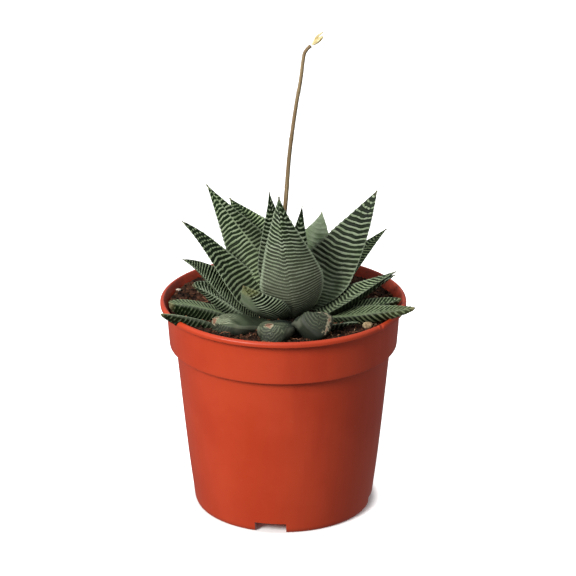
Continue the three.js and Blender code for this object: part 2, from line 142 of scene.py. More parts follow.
LEAVES = [
    leaf("leaf_heart_left", 150, (2, 90), (7, 116), (70, 85), 11),
    leaf("leaf_heart_right", -10, (2, 90), (8, 111), (65, 80), 11),
    leaf("leaf_inner_back", 60, (2, 90), (11, 130), (70, 78), 15, dots=0.8),
    leaf("leaf_inner_right", 76, (6, 88), (27, 122.7), (58, 62), 21, to=58.5, widest=0.55, pale=0.85),
    leaf("leaf_inner_left", 122, (3, 90), (23, 132.2), (58, 74), 19.5, turn=(5, 0), to=112, dots=0.8,
         pitch=(1.5, 2.0)),
    leaf("leaf_front_tall", -79, (6, 86), (6.2, 139), (46, 100), 27.5, to=226, pull=(0.45, 0.4),
         foot_width=0.36, widest=0.38, grey=0.9, bend=(1.2, 3.8), foot_bend=2.4, lean=1.2,
         pitch=(1.0, 2.35), pitch_power=2.0, light=0.9, fade_from=0.84, columns=52, fineness=8),
    leaf("leaf_right_tall", 24, (6, 87), (41, 134.4), (52.5, 59.5), 26, turn=(-25, -38), grey=0.3,
         bright_foot=0.42, columns=44, bend=(0.6, 1.4), lean=0.9, taper=0.95, pitch=(1.6, 2.9), light=0.67),
    leaf("leaf_left_tall", 140, (6, 88), (46.6, 132.8), (58, 46), 24, turn=(30, 30), cup=-0.2, keeled=True,
         columns=40, bend=(-1.0, 0.3), pitch=(1.7, 2.1), light=0.8, fresh=0.3),
    leaf("leaf_back_inner", 128, (5, 88), (30, 112), (45, 60), 22),
    leaf("leaf_left_back", 122, (5, 88), (49, 122.5), (60, 26), 27, turn=(24, 24), widest=0.45,
         pitch=(1.4, 1.8), fresh=0.5),
    leaf("leaf_back_middle", 82, (6, 88), (30, 111), (45, 55), 19),
    leaf("leaf_right_behind", 37, (6, 87), (53, 111.7), (30, 26), 23, pitch=(1.3, 1.6), fresh=0.6),
    leaf("leaf_left_wide", 196, (6, 86), (45.2, 127.3), (38, 40), 20.6, turn=(40, 34), to=183, taper=0.95,
         pitch=(1.8, 2.6), bend=(-0.9, -0.9), lean=-1.0, dots=0.85, bead_from=0.35, fresh=0.35, columns=40),
    leaf("leaf_front_curled", 243, (7, 86), (34, 108), (32, 36), 21, turn=(-8, -8), to=236, foot_width=0.5,
         widest=0.5, dots=0.9, dry_tip=1.0, pitch=(1.3, 1.8), bare_side=1, bare=0.58, light=0.85,
         columns=36, fineness=6),
    leaf("leaf_left_mid", 212, (10, 85), (45.9, 113.1), (35, 25), 20, turn=(38, 32), to=193,
         foot_width=0.36, widest=0.5, thickness=0.5, pitch=(1.05, 1.4), bend=(0.2, 0.2), dim=0.25,
         light=0.85, fresh=0.3, rim=0.82, fineness=7),
    leaf("leaf_right_mid", -15, (7, 86), (46.3, 108.3), (26, 30), 23, turn=(-8, -8), thickness=0.5,
         pitch=(1.6, 2.0), bend=(-1.0, 1.4), lean=2.2, dim=0.45, light=0.9, fresh=0.25, columns=32),
    leaf("leaf_left_low", 222, (12, 84), (43, 103), (28, 6), 18, turn=(28, 24), to=200, widest=0.45,
         thickness=0.8, taper=0.7, pitch=(1.2, 1.6), bend=(-0.4, -0.3), dim=0.12, smooth_top=0.3,
         light=0.92, rim=0.78),
    leaf("leaf_back_right", 58, (6, 87), (48, 105), (25, 30), 22, thickness=0.5),
    leaf("leaf_back_left", 105, (6, 87), (44, 110), (28, 35), 22, thickness=0.5),
    leaf("leaf_back_low", 83, (6, 87), (46, 100), (18, 24), 22, thickness=0.5),
    leaf("leaf_right_low", 8, (7, 86), (46, 100), (15, 20), 20, thickness=0.55),
    leaf("leaf_left_lying", 208, (9, 84.5), (53.6, 96.6), (8, 4), 16, turn=(-2, -2), to=200, widest=0.45,
         thickness=1.15, taper=0.45, pitch=(1.4, 1.7), bend=(-1.2, 0.4), dim=0.35, smooth_top=0.4,
         fresh=0.6, rim=0.88),
    leaf("leaf_right_lying", -13, (8, 85), (48.5, 95.5), (8, 8), 15, turn=(-2, -2), widest=0.45,
         thickness=0.9, taper=0.6, pitch=(1.4, 1.9), bend=(0.9, -1.0), dim=0.2, fresh=0.5),
    leaf("leaf_left_over_rim", 225, (14, 81), (62.3, 97.2), (4, 16), 14.5, turn=(-12, -14), to=211.5,
         widest=0.4, thickness=0.95, taper=0.65, pitch=(1.8, 2.1), bend=(-1.2, 0.4), dim=0.35,
         smooth_top=0.9, fresh=0.4, rim=0.85),
    leaf("leaf_right_over_rim", -30, (8, 86), (60.2, 99), (12, 12), 15, widest=0.45, thickness=0.8,
         taper=0.65, pitch=(2.0, 2.4), bend=(0.9, -1.3), light=0.8, dry_tip=0.8, fresh=0.55),
    leaf("leaf_back_lying", 135, (8, 85), (46, 97), (10, 12), 20, thickness=0.6),
    leaf("leaf_front_right_small", -64, (15, 86), (43, 92.8), (6, 6), 10, to=-47, pull=(0.6, 0.3),
         thickness=0.6, dry_tip=0.6),
    leaf("stub_middle", -99, (14, 84), (43.5, 93.6), (10, 18), 15.5, cut=True, scar=(0.4, 0.86, 3.2),
         light=0.95),
    leaf("stub_left", 228, (15, 84), (42.3, 92.2), (10, 14), 17, cut=True, scar=(0.97, 0.88, 3.6),
         pale=0.95, ribbed=True, columns=64),
    leaf("stub_right", -73, (15, 84), (39.5, 97.4), (16, 36), 16, cut=True, scar=(-0.45, 0.8, 1.3),
         rim_side=-1, light=0.62, rounded_end=0.2, end_width=0.68),
]

STALK_RADIUS = (1.1, 0.75)
STALK_ROUTE = [
    (-4.3, 4, 93.4), (-2.2, 4, 108), (0.7, 4, 131), (2.6, 4, 155), (5.3, 4, 176), (7.2, 4, 187),
    (8.5, 4, 197.5), (9.6, 4, 200.2), (11.3, 4, 202),
]
FLOWER_ROUTE = [(11.9, 4, 202.4), (13.8, 4, 204), (16.4, 4, 205.9)]
BRACT_ROUTE = [(12.6, 4, 203.4), (14, 4, 206), (16.4, 4, 207.8)]

# ---- small mathematics
def mix(a, b, share):
    return a + (b - a) * share


def smoothstep(low, high, x):
    t = np.clip((np.asarray(x, float) - low) / (high - low), 0, 1)
    return t * t * (3 - 2 * t)


def lattice(ix, iy, seed):
    """A fixed pseudo-random number from 0 to 1 for each whole-number pair."""
    value = np.sin(ix * 127.1 + iy * 311.7 + seed * 74.7) * 43758.5453
    return value - np.floor(value)


def value_noise(x, y, seed=0):
    """Smooth noise from -1 to 1, one feature per unit."""
    x, y = np.broadcast_arrays(np.asarray(x, float), np.asarray(y, float))
    ix, iy = np.floor(x), np.floor(y)
    fx, fy = smoothstep(0, 1, x - ix), smoothstep(0, 1, y - iy)
    low = mix(lattice(ix, iy, seed), lattice(ix + 1, iy, seed), fx)
    high = mix(lattice(ix, iy + 1, seed), lattice(ix + 1, iy + 1, seed), fx)
    return 2 * mix(low, high, fy) - 1


def layered_noise(x, y, seed=0, layers=4):
    total = 0
    for layer in range(layers):
        scale = 2 ** layer
        total = total + value_noise(x * scale, y * scale, seed + layer) / scale
    return total


def unit(vectors):
    return vectors / norm(vectors, axis=-1, keepdims=True)


# ---- meshes
def set_values(mesh, key, numbers):
    layer = mesh.attributes.new(key, "FLOAT", "POINT")
    layer.data.foreach_set("value", np.ascontiguousarray(numbers, dtype=np.float32))


def make_piece(name, points, faces, material, smooth=True, **values):
    """An object from points in millimetres, with one number per point for each named value."""
    mesh = bpy.data.meshes.new(name)
    mesh.from_pydata((np.asarray(points) * MM).tolist(), [], [list(map(int, face)) for face in faces])
    mesh.update()
    for key, numbers in values.items():
        set_values(mesh, key, numbers)
    mesh.polygons.foreach_set("use_smooth", [smooth] * len(mesh.polygons))
    mesh.materials.append(material)
    piece = bpy.data.objects.new(name, mesh)
    scene.collection.objects.link(piece)
    return piece


def side_faces(rows, columns):
    """Faces of the wall through stacked rings of points."""
    faces = []
    for row in range(rows - 1):
        for column in range(columns):
            right = (column + 1) % columns
            faces.append((row * columns + column, row * columns + right,
                          (row + 1) * columns + right, (row + 1) * columns + column))
    return faces


def closed_rings(rings):
    """Points and faces of a closed skin over rings (rows, columns, 3), with a middle point at each end."""
    rows, columns, _ = rings.shape
    points = np.vstack([rings.reshape(-1, 3), rings[0].mean(axis=0), rings[-1].mean(axis=0)])
    first, last = rows * columns, rows * columns + 1
    faces = side_faces(rows, columns)
    for column in range(columns):
        right = (column + 1) % columns
        faces.append((first, right, column))
        faces.append((last, (rows - 1) * columns + column, (rows - 1) * columns + right))
    return points, faces


def ring_values(values):
    """One number per point of closed_rings, from an array of rows and columns."""
    return np.concatenate([values.ravel(), [values[0].mean(), values[-1].mean()]])


def fuse(parts):
    """Points and faces of several parts, each (points, faces), as one."""
    points, faces, total = [], [], 0
    for part_points, part_faces in parts:
        points.append(part_points)
        faces += [tuple(corner + total for corner in face) for face in part_faces]
        total += len(part_points)
    return np.vstack(points), faces


def round_lump(subdivisions):
    """Points and faces of a ball of triangles with a radius of 1."""
    work = bmesh.new()
    bmesh.ops.create_icosphere(work, subdivisions=subdivisions, radius=1)
    points = np.array([v.co[:] for v in work.verts])
    faces = [[v.index for v in face.verts] for face in work.faces]
    work.free()
    return points, faces


def recalculate(piece):
    """Turns all faces outwards."""
    work = bmesh.new()
    work.from_mesh(piece.data)
    bmesh.ops.recalc_face_normals(work, faces=work.faces)
    work.to_mesh(piece.data)
    work.free()


def even_steps(curve, count):
    """Evenly spaced points along a curve of close points, their directions, and the curve's length."""
    reach = np.concatenate([[0], np.cumsum(norm(np.diff(curve, axis=0), axis=1))])
    even = np.linspace(0, reach[-1], count)
    points = np.stack([np.interp(even, reach, curve[:, k]) for k in range(3)], axis=1)
    return points, unit(np.gradient(points, axis=0)), reach[-1]


def smooth_route(route, count):
    """Evenly spaced points and directions on a smooth curve through a list of points."""
    route = np.array(route, float)
    padded = np.vstack([2 * route[0] - route[1], route, 2 * route[-1] - route[-2]])
    fine = []
    for i in range(1, len(padded) - 2):
        a, b, c, d = padded[i - 1:i + 3]
        for t in np.linspace(0, 1, 24, endpoint=False):
            fine.append(0.5 * (2 * b + (c - a) * t + (2 * a - 5 * b + 4 * c - d) * t ** 2
                               + (3 * b - a - 3 * c + d) * t ** 3))
    fine.append(route[-1])
    return even_steps(np.array(fine), count)[:2]


def tube_rings(route, radius, rows, columns):
    """Rings of a round tube; radius(share, angle) gives its radius."""
    centres, along = smooth_route(route, rows)
    back = np.array([0.0, 1.0, 0.0])
    side = unit(np.cross(back, along))
    share = np.linspace(0, 1, rows)[:, None]
    angle = np.linspace(0, 2 * pi, columns, endpoint=False)[None, :]
    size = np.broadcast_to(radius(share, angle), (rows, columns))[..., None]
    return (centres[:, None] + size * np.cos(angle)[..., None] * side[:, None]
            + size * np.sin(angle)[..., None] * back)


# ---- leaves
def leaf_midline(row, count):
    """Points evenly spaced on the leaf's midline, the directions across and up from it, and its length."""
    start = radians(row["start"])
    end = start if row["to"] is None else radians(row["to"])
    outward = np.array([cos(start), sin(start), 0.0])
    rise_axis = np.array([0.0, 0.0, 1.0])

    def place(angle, reach, height):
        return PLANT + np.array([reach * cos(angle), reach * sin(angle), height])

    def heading(rise):
        return outward * cos(radians(rise)) + rise_axis * sin(radians(rise))

    foot, tip = place(start, *row["foot"]), place(end, *row["tip"])
    span = norm(tip - foot)
    handle_a = foot + heading(row["rise"][0]) * span * row["pull"][0]
    handle_b = tip - heading(row["rise"][1]) * span * row["pull"][1]
    t = np.linspace(0, 1, 400)[:, None]
    curve = ((1 - t) ** 3 * foot + 3 * (1 - t) ** 2 * t * handle_a + 3 * (1 - t) * t ** 2 * handle_b
             + t ** 3 * tip)
    centre, along, length = even_steps(curve, count)
    level = np.cross(outward, rise_axis)
    side = unit(level - (along @ level)[:, None] * along)
    face = np.cross(side, along)
    roll = np.radians(mix(*row["turn"], np.linspace(0, 1, count)))[:, None]
    across = side * np.cos(roll) + face * np.sin(roll)
    up = face * np.cos(roll) - side * np.sin(roll)
    return centre, across, up, length


def blade_outline(row, share):
    """Half the blade's width along it, where 1 is the widest place."""
    if row["cut"]:
        swell = mix(row["foot_width"], 1, np.sin(np.pi / 2 * np.minimum(1, share / 0.5)))
        end = np.clip((share - 1 + row["rounded_end"]) / row["rounded_end"], 0, 1)
        return swell * mix(row["end_width"], 1, np.sqrt(1 - end ** 2))
    widest = row["widest"]
    rising = mix(row["foot_width"], 1, np.sin(np.pi / 2 * np.minimum(1, share / widest)))
    rest = np.clip((share - widest) / (1 - widest), 0, 1)
    falling = np.maximum(row["tip_width"], (1 - rest ** 1.2) ** row["taper"])
    return np.where(share < widest, rising, falling)


def blade_lift(row, share, s, half, below):
    """Height of the blade's skin over its midline plane; s runs across the blade from -1 to 1."""
    edge = np.minimum(row["edge"], 0.5 * half) * np.sqrt(np.maximum(0, 1 - s ** 8))
    if not below:
        cup = row["cup"] * 2 * half * (1 if row["cut"] else 1 - share)
        return -cup * (1 - s ** 2) + edge
    depth = row["thickness"] * half * (1 + 0.3 * share)
    flank = row["flank"] if row["cut"] else mix(0.65, 0.35, share)
    keeled = np.where(s < KEEL, (1 + s) / (1 + KEEL), (1 - s) / (1 - KEEL))
    keeled = keeled - 0.12 * np.exp(-((s - KEEL) / 0.09) ** 2)
    return -depth * (flank * (1 - np.abs(s) ** 2.2) + (1 - flank) * keeled) - edge


def ridge_pattern(row, share, s, half, length, below, seed):
    """How high the white cross ridges stand, from 0 in the gaps to 1 on the crests."""
    # `lines` counts the ridges from the leaf's foot. It is a whole number on each crest.
    steps = np.linspace(0, 1, 200)
    pitch = mix(*row["pitch"], steps ** row["pitch_power"])
    lines = np.interp(share, steps, np.concatenate([[0], np.cumsum(np.diff(steps) * length / pitch[1:])]))
    near, far = row["bend"]
    lean = row["lean"]
    if row["foot_bend"] is not None:
        settled = smoothstep(0.5, 0.2, share)
        near, far = mix(near, row["foot_bend"], settled), mix(far, row["foot_bend"], settled)
        lean = mix(lean, 0, settled)
    bend = np.where(s < 0, near, far) * mix(1.0, 0.3, share)
    lines = lines - bend * np.maximum(0, (np.abs(s) - 0.1) / 0.9) ** 1.5
    lines = lines - lean * s * smoothstep(1.0, 0.6, share)
    # Ridges break and shift a little along two lengthwise lines, and wander.
    shift = 0.35 * value_noise(share * 5, s * 0 + 3.3, seed)
    lines = lines + shift * smoothstep(0.30, 0.40, s) - shift * smoothstep(0.30, 0.40, -s)
    lines = lines + 0.2 * value_noise(s * 2.6 + 9, share * length / 5, seed + 1)
    if below or row["keeled"]:
        lines = lines + 0.45 * smoothstep(-0.02, 0.05, s - KEEL)
    wave = 0.5 + 0.5 * np.cos(2 * np.pi * lines)
    worn = 0.16 * value_noise(s * 5, share * length / 1.6, seed + 2)
    ridge = smoothstep(mix(0.3, 0.55, share), mix(0.8, 0.98, share), wave + worn)
    number = np.floor(lines + 0.5)
    beads = 0.5 + 0.5 * np.cos(2 * np.pi * (s * half / 1.5 + lattice(number, number * 0, seed)))
    beading = row["dots"] * smoothstep(row["bead_from"], 0.92, share)
    ridge = ridge * (1 - beading * (1 - smoothstep(0.15, 0.7, beads)))
    if row["bare_side"]:
        worn_side = smoothstep(-0.25, 0.1, s * row["bare_side"])
        ridge = mix(ridge, row["bare"], worn_side * smoothstep(0.95, 0.8, share))
    if row["keeled"]:
        keel_line = np.exp(-((s - KEEL) / 0.035) ** 2) * smoothstep(0.3, 0.5, share)
        ridge = np.maximum(ridge, 0.7 * keel_line)
    # Painted shade on the underside: its ridges are dimmed, and so also lowered.
    return ridge * (1 - row["dim"]) if below else mix(ridge, 0.8, row["smooth_top"])


def scar_pattern(row, share, s, below, skin, seed):
    """A cut leaf's ridges, which ring the healed scar near its end, and the scar itself."""
    side, place, reach = row["scar"]
    count, columns = s.shape
    row_index = int(place * (count - 1))
    column = int(np.argmin(np.abs(s[row_index, :columns // 2] - side)))
    away = norm(skin - skin[row_index, column], axis=-1)
    away = away + 0.5 * value_noise(s * 2.5, share * 7, seed)
    count_from_scar = away / STUB_PITCH
    if row["ribbed"]:
        lengthwise = s * row["width"] / 2 / STUB_PITCH + 0.25 * value_noise(s * 4, share * 7, seed + 4)
        count_from_scar = np.where(below, count_from_scar, lengthwise)
    rings = smoothstep(0.45, 0.9, 0.5 + 0.5 * np.cos(2 * np.pi * count_from_scar))
    scar = smoothstep(reach, 0.2 * reach, away)
    if row["rim_side"]:
        from_rim = np.arange(count)[:, None] - (count - CAP_ROWS)
        rim = np.exp(-(from_rim / 2.5) ** 2) * smoothstep(-0.1, 0.5, s * row["rim_side"])
        scar = np.maximum(scar, 0.6 * rim)
    return rings * smoothstep(14, 5, away), scar


def leaf_tones(row, share, s, below):
    """What colours a leaf beside its ridges: its pale margin, fading, paleness (at some feet painted light)
    and its light value (painted shade).
    """
    margin = smoothstep(row["rim"], 0.975, np.abs(s)) * smoothstep(1.0, 0.9, share)
    fade = row["grey"] * smoothstep(row["fade_from"], 0.25, share)
    # Paleness at the foot is painted light; the rest of pale is the leaf's own colour.
    pale = row["pale"] + row["bright_foot"] * smoothstep(0.4, 0.2, share)
    # Painted shade: the light value darkens a leaf halfway along and a stub all over.
    middle = 1 if row["cut"] else smoothstep(0.2, 0.5, share) * smoothstep(1.0, 0.75, share)
    # The underside is darkened further as painted shade.
    light = mix(1, row["light"], middle) * np.where(below, 1 - 0.35 * row["dim"], 1)
    if row["cut"]:
        pale = pale * ~below
    # Painted shade: one flank of a keeled leaf is darker.
    if row["keeled"]:
        light = light * mix(1, 0.68, smoothstep(0, 0.3, s) * smoothstep(0.9, 0.6, share))
    return margin, fade, pale, light


def make_leaf(row, seed, material):
    """The skin of a leaf or a stub, sunk between its ridges."""
    cut = row["cut"]
    length = leaf_midline(row, 200)[3]
    count = int(length / ROW_SPACING) * row["fineness"] + 12
    half_columns = row["columns"] or (22 if row["width"] > WIDE_LEAF else 16)
    centre, across, up, length = leaf_midline(row, count)
    share = np.linspace(0, 1, count)[:, None]
    half = row["width"] / 2 * blade_outline(row, share)
    inward = np.ones((count, 1))
    if cut:
        # More rings, ever smaller, close the cut end with a low dome.
        rows = np.minimum(np.arange(count + CAP_ROWS), count - 1)
        inward = np.clip((count + CAP_ROWS - np.arange(len(rows))) / (CAP_ROWS + 1.0), 0.04, 1)[:, None]
        centre = centre[rows] + CAP_HEIGHT * (1 - inward ** 2) * unit(centre[-1] - centre[-2])
        across, up, share, half, count = across[rows], up[rows], share[rows], half[rows], len(rows)
    sweep = np.linspace(0, np.pi, half_columns, endpoint=False)
    s = np.broadcast_to(np.concatenate([-np.cos(sweep), np.cos(sweep)]), (count, 2 * half_columns))
    below = np.broadcast_to(np.arange(2 * half_columns) >= half_columns, s.shape)
    lift = np.where(below, blade_lift(row, share, s, half, True), blade_lift(row, share, s, half, False))
    waviness = (0.12 if cut else 0.025) * half * value_noise(share * 6, s * 1.5, seed + 5)
    skin = (centre[:, None] + (s * half * inward)[..., None] * across[:, None]
            + ((lift + waviness) * inward)[..., None] * up[:, None])

    if cut:
        ridge, scar = scar_pattern(row, share, s, below, skin, seed)
    else:
        ridge = np.where(below, ridge_pattern(row, share, s, half, length, True, seed),
                         ridge_pattern(row, share, s, half, length, False, seed + 20))
        scar = 0
    margin, fade, pale, light = leaf_tones(row, share, s, below)
    tall = np.minimum(RIDGE_HEIGHT, RIDGE_HEIGHT_SHARE * half) * (0.45 if cut else 1) * (1 - 0.6 * fade)
    skin = skin - skin_normals(skin) * (tall * (1 - np.maximum(ridge, 0.35 * margin)))[..., None]
    # Painted shade on the leaves low down near the soil, stronger on the undersides.
    painted_low_shade = smoothstep(LOW_SHADE_TOP + 12 * row["dim"], LOW_SHADE_FLOOR, skin[..., 2]) * np.where(below, 1, 0.4)
    values = dict(ridge=ridge, margin=margin, along=share, fade=fade, pale=pale, tone=lattice(seed, 1, 3),
                  dry=row["dry_tip"], scar=scar, painted_low_shade=painted_low_shade, light=light, fresh=row["fresh"])
    points, faces = closed_rings(skin)
    piece = make_piece(row["name"] + "_skin", points, faces, material,
                       **{key: ring_values(value + 0 * s) for key, value in values.items()})
    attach(piece, "root")
    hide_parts(row["name"])


def skin_normals(skin):
    """Outward unit normals of rings of points."""
    along = np.gradient(skin, axis=0)
    around = np.roll(skin, -1, axis=1) - np.roll(skin, 1, axis=1)
    return unit(np.cross(around, along) + 1e-9)


# ---- pot
def rounded_profile(corners, steps=5):
    """A closed profile of (radius, height, rounding): each corner becomes an arc."""
    result = []
    count = len(corners)
    for i, (r, z, rounding) in enumerate(corners):
        here = np.array([r, z])
        before = np.array(corners[i - 1][:2]) - here
        after = np.array(corners[(i + 1) % count][:2]) - here
        if rounding <= 0:
            result.append(here)
            continue
        reach = min(rounding, 0.45 * norm(before), 0.45 * norm(after))
        a = here + before / norm(before) * reach
        b = here + after / norm(after) * reach
        for t in np.linspace(0, 1, steps):
            result.append((1 - t) ** 2 * a + 2 * (1 - t) * t * here + t ** 2 * b)
    return np.array(result)


def pot_profile():
    """Half the pot's section, from its underside round the outside to the top of its floor."""
    floor_top = FLOOR_HEIGHT + FLOOR_THICKNESS
    lip_foot = POT_HEIGHT - LIP_HEIGHT
    return rounded_profile([
        (0.01, FLOOR_HEIGHT, 0), (FOOT_RADIUS - 2.2, FLOOR_HEIGHT, 0.8), (FOOT_RADIUS - 1.9, 0, 0.3),
        (FOOT_RADIUS, 0, 0.5), (FOOT_RADIUS + 0.7, 1.6, 1.0), *BODY,
        (WAIST_RADIUS, LEDGE_HEIGHT, 0.6), (LEDGE_RADIUS, LEDGE_HEIGHT, 0.5), (LEDGE_RADIUS + 0.3, 76.5, 2),
        (COLLAR_RADIUS, 82, 3), (COLLAR_RADIUS + 0.3, lip_foot, 0.25), (LIP_RADIUS, lip_foot, 0.45),
        (LIP_RADIUS, POT_HEIGHT - 0.7, 0.7), (LIP_RADIUS - 0.8, POT_HEIGHT, 0.8),
        (COLLAR_RADIUS + 1.5, POT_HEIGHT, 0.6), (COLLAR_RADIUS + 0.9, POT_HEIGHT - 1, 1),
        (COLLAR_RADIUS - WALL + 0.1, POT_HEIGHT - 6, 2), (LEDGE_RADIUS - WALL + 0.2, LEDGE_HEIGHT + 3.4, 1),
        (WAIST_RADIUS - WALL + 0.1, LEDGE_HEIGHT + 1.2, 1),
        *((radius - WALL, height, rounding) for radius, height, rounding in reversed(BODY)),
        (FOOT_RADIUS - 0.3, floor_top, 1), (0.01, floor_top, 0),
    ])


def pot_angles():
    """Bearings of the pot's facets, closer together beside the nick in the lip."""
    even = np.linspace(-180, 180, 200, endpoint=False)
    close = NICK_ANGLE + np.linspace(-6, 6, 41)
    return np.radians(np.sort(np.concatenate([even[np.abs(even - NICK_ANGLE) > 6.5], close])))


def dent_lip(points):
    """A small nick in the lip's edge, with a short crack beside it."""
    bearing = np.degrees(np.arctan2(points[:, 1], points[:, 0])) - NICK_ANGLE
    radius = np.hypot(points[:, 0], points[:, 1])
    outer = smoothstep(LIP_RADIUS - 1.5, LIP_RADIUS, radius)
    upper = smoothstep(POT_HEIGHT - 1.9, POT_HEIGHT - 0.4, points[:, 2])
    nick = NICK_DEPTH * np.exp(-(bearing / 0.75) ** 2) * outer * upper
    crack = CRACK_DEPTH * np.exp(-((bearing + CRACK_AWAY) / 0.3) ** 2)
    crack = crack * smoothstep(LIP_RADIUS - 3, LIP_RADIUS - 1, radius)
    points[:, 2] -= nick + crack * upper
    points[:, :2] *= (1 - nick / LIP_RADIUS)[:, None]
    return points


def block(name, outline, low, high):
    """An upright block to cut with, from the corners of its outline."""
    sides = len(outline)
    points = np.array([(x, y, z) for z in (low, high) for x, y in outline])
    faces = [tuple(reversed(range(sides))), tuple(range(sides, 2 * sides))] + side_faces(2, sides)
    mesh = bpy.data.meshes.new(name)
    mesh.from_pydata((points * MM).tolist(), [], faces)
    return bpy.data.objects.new(name, mesh)


def notch_cutter(angle):
    """Cuts a notch in the foot ring at a bearing."""
    corners = [(FOOT_RADIUS + out, along * NOTCH_WIDTH / 2)
               for out, along in ((-4, -1), (4, -1), (4, 1), (-4, 1))]
    outline = [(x * cos(angle) - y * sin(angle), x * sin(angle) + y * cos(angle)) for x, y in corners]
    return block("notch_cutter", outline, -1.0, NOTCH_HEIGHT)


def drain_cutter(x, y, sides=32):
    """Cuts a round hole in the floor."""
    turns = [2 * pi * i / sides for i in range(sides)]
    return block("drain_cutter", [(x + DRAIN_RADIUS * cos(turn), y + DRAIN_RADIUS * sin(turn))
                                  for turn in turns], FLOOR_HEIGHT - 4, FLOOR_HEIGHT + 3)


def carve(piece, cutters):
    """Cuts the cutters out of the piece's mesh and forgets them."""
    for tool in cutters:
        scene.collection.objects.link(tool)
        modifier = piece.modifiers.new("carve", "BOOLEAN")
        modifier.operation = "DIFFERENCE"
        modifier.solver = "EXACT"
        modifier.object = tool
    depsgraph = bpy.context.evaluated_depsgraph_get()
    carved = bpy.data.meshes.new_from_object(piece.evaluated_get(depsgraph))
    piece.modifiers.clear()
    piece.data = carved
    for tool in cutters:
        bpy.data.objects.remove(tool)


def make_pot(material):
    """The pot and its floor in one shell, very slightly out of round."""
    profile, angles = pot_profile(), pot_angles()
    columns, rows = len(angles), len(profile)
    points = np.array([(r * cos(a), r * sin(a), z) for r, z in profile for a in angles])
    points = dent_lip(points)
    warp = 1 + 0.0012 * np.sin(2 * np.arctan2(points[:, 1], points[:, 0]) + 0.7) * points[:, 2] / POT_HEIGHT
    points[:, :2] *= warp[:, None]
    faces = side_faces(rows, columns)
    faces.append(tuple(reversed(range(columns))))
    faces.append(tuple((rows - 1) * columns + i for i in range(columns)))
    faces = [tuple(reversed(face)) for face in faces]
    pot = make_piece("pot_shell", points, faces, material)
    recalculate(pot)
    ring = [pi / 3 * i for i in range(6)]
    carve(pot, [notch_cutter(radians(a)) for a in NOTCH_ANGLES] + [drain_cutter(0, 0)]
          + [drain_cutter(DRAIN_RING * cos(a), DRAIN_RING * sin(a)) for a in ring])
    pot.data.polygons.foreach_set("use_smooth", [True] * len(pot.data.polygons))
    pot.data.set_sharp_from_angle(angle=radians(42))
    add_grime_and_shade(pot)
    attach(pot, "root")
    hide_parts("pot", "pot_floor")


def add_grime_and_shade(pot):
    """Soil smear and painted shade on the inner wall over the soil: 1 where the skin faces the pot's axis."""
    points = np.array([vertex.co for vertex in pot.data.vertices])
    normals = np.array([normal.vector for normal in pot.data.vertex_normals])
    outward = np.sum(unit(points[:, :2]) * normals[:, :2], axis=1)
    grime_and_shade = smoothstep(-0.2, -0.75, outward) * (points[:, 2] > 0.6 * POT_HEIGHT * MM)
    set_values(pot.data, "grime_and_shade", grime_and_shade)


# ---- soil
def soil_base(x, y):
    """Height of the soil without its lumps: it rises to the pot's wall, most on one side."""
    radius = np.hypot(x, y) / (COLLAR_RADIUS - WALL)
    bearing = np.arctan2(y, x) - radians(SOIL_HIGH_SIDE)
    return SOIL_MIDDLE + (SOIL_RIM_RISE + SOIL_RIM_TILT * np.cos(bearing)) * radius ** 3


def soil_height(x, y):
    """Height of the soil with its lumps and clods."""
    lumps = 0.55 * layered_noise(x / 3.1, y / 3.1, 11, 3)
    clods = 0.75 * np.abs(value_noise(x / 1.7 + 5, y / 1.7, 21))
    clods = clods + 0.35 * np.abs(value_noise(x / 0.8, y / 0.8, 22))
    return soil_base(x, y) + lumps + clods - 0.4


def openness(x, y):
    """0 beneath the leaves, where shade is painted on the soil, 1 by the pot's wall."""
    return smoothstep(26, 42, np.hypot(x - PLANT[0], y - PLANT[1]))


def make_soil(material):
    """The whole filling of the pot, with a lumpy top."""
    columns, rows = 420, 105
    outer = COLLAR_RADIUS - WALL - SOIL_GAP
    angle = np.linspace(0, 2 * pi, columns, endpoint=False)[None, :]
    radius = outer * np.linspace(1, 0.03, rows)[:, None] ** 0.8
    x, y = radius * np.cos(angle), radius * np.sin(angle)
    flare = 1 + 0.9 / outer * smoothstep(0.93, 1.0, radius / outer)
    top = np.stack([x * flare, y * flare, soil_height(x, y)], axis=-1)
    wall = [(FOOT_RADIUS - 0.9, FLOOR_HEIGHT + FLOOR_THICKNESS + SOIL_GAP),
            *((body_radius - WALL - 0.4, height) for body_radius, height, _ in BODY),
            (WAIST_RADIUS - WALL - 0.4, LEDGE_HEIGHT + 1.3), (LEDGE_RADIUS - WALL - 0.2, LEDGE_HEIGHT + 3.7),
            (outer, 86)]
    walls = np.array([[(r * cos(a), r * sin(a), z) for a in angle[0]] for r, z in wall])
    points, faces = closed_rings(np.concatenate([walls, top]))
    x, y = points[:, 0], points[:, 1]
    damp = (0.5 + 0.5 * layered_noise(x / 5, y / 5, 31, 3)) * openness(x, y)
    soil = make_piece("soil_surface", points, faces, material, damp=damp, open=openness(x, y))
    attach(soil, "root")
    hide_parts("soil")


def scatter_place(outer):
    """A random place on the soil, kept out of the crown."""
    while True:
        x, y = random.uniform(-outer, outer, 2)
        if hypot(x, y) < outer and hypot(x - PLANT[0], y - PLANT[1]) > CROWN_REACH:
            return x, y


def height_at(x, y):
    """The soil's height at one place."""
    return float(soil_height(np.array(x), np.array(y)))


